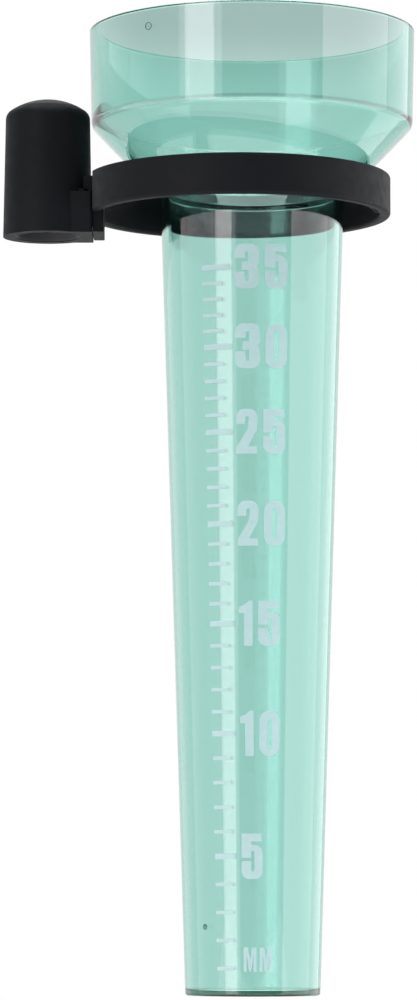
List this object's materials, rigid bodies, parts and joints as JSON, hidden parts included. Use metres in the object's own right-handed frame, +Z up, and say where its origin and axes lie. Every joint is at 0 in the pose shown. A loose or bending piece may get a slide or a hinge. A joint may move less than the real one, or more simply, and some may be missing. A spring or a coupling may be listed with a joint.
{
  "type": "manual rain gauge",
  "caption": "Clear tapered rain gauge tube with a wide funnel mouth and printed millimetre scale, hung in a ring holder on a domed pole cap.",
  "frame": {"origin": "centre of the pole socket's mouth, on the pole's axis", "axes": "+Z up along the pole and the gauge, +X from the pole cap to the gauge"},
  "size_m": [0.0963, 0.0762, 0.2248],
  "materials": {
    "clear_teal_plastic": "clear, polished mould, pale teal-green tint",
    "black_plastic": "fine satin moulded surface",
    "scale_ink": "thin screen-printed ink, slightly see-through"
  },
  "bodies": {
    "cap": {"pole_cap": "black_plastic"},
    "holder": {"ring_holder": "black_plastic"},
    "vessel": {"gauge_vessel": "clear_teal_plastic", "long_lines": "scale_ink", "short_lines": "scale_ink", "numeral_05": "scale_ink", "numeral_10": "scale_ink", "numeral_15": "scale_ink", "numeral_20": "scale_ink", "numeral_25": "scale_ink", "numeral_30": "scale_ink", "numeral_35": "scale_ink", "unit_mark": "scale_ink"}
  },
  "joints": [
    {"name": "holder_lift", "type": "slide", "parent": "cap", "child": "holder", "axis": [0, 0, 1], "range_m": [0, 0.01]},
    {"name": "vessel_lift", "type": "slide", "parent": "holder", "child": "vessel", "axis": [0, 0, 1], "range_m": [0, 0.195]}
  ]
}
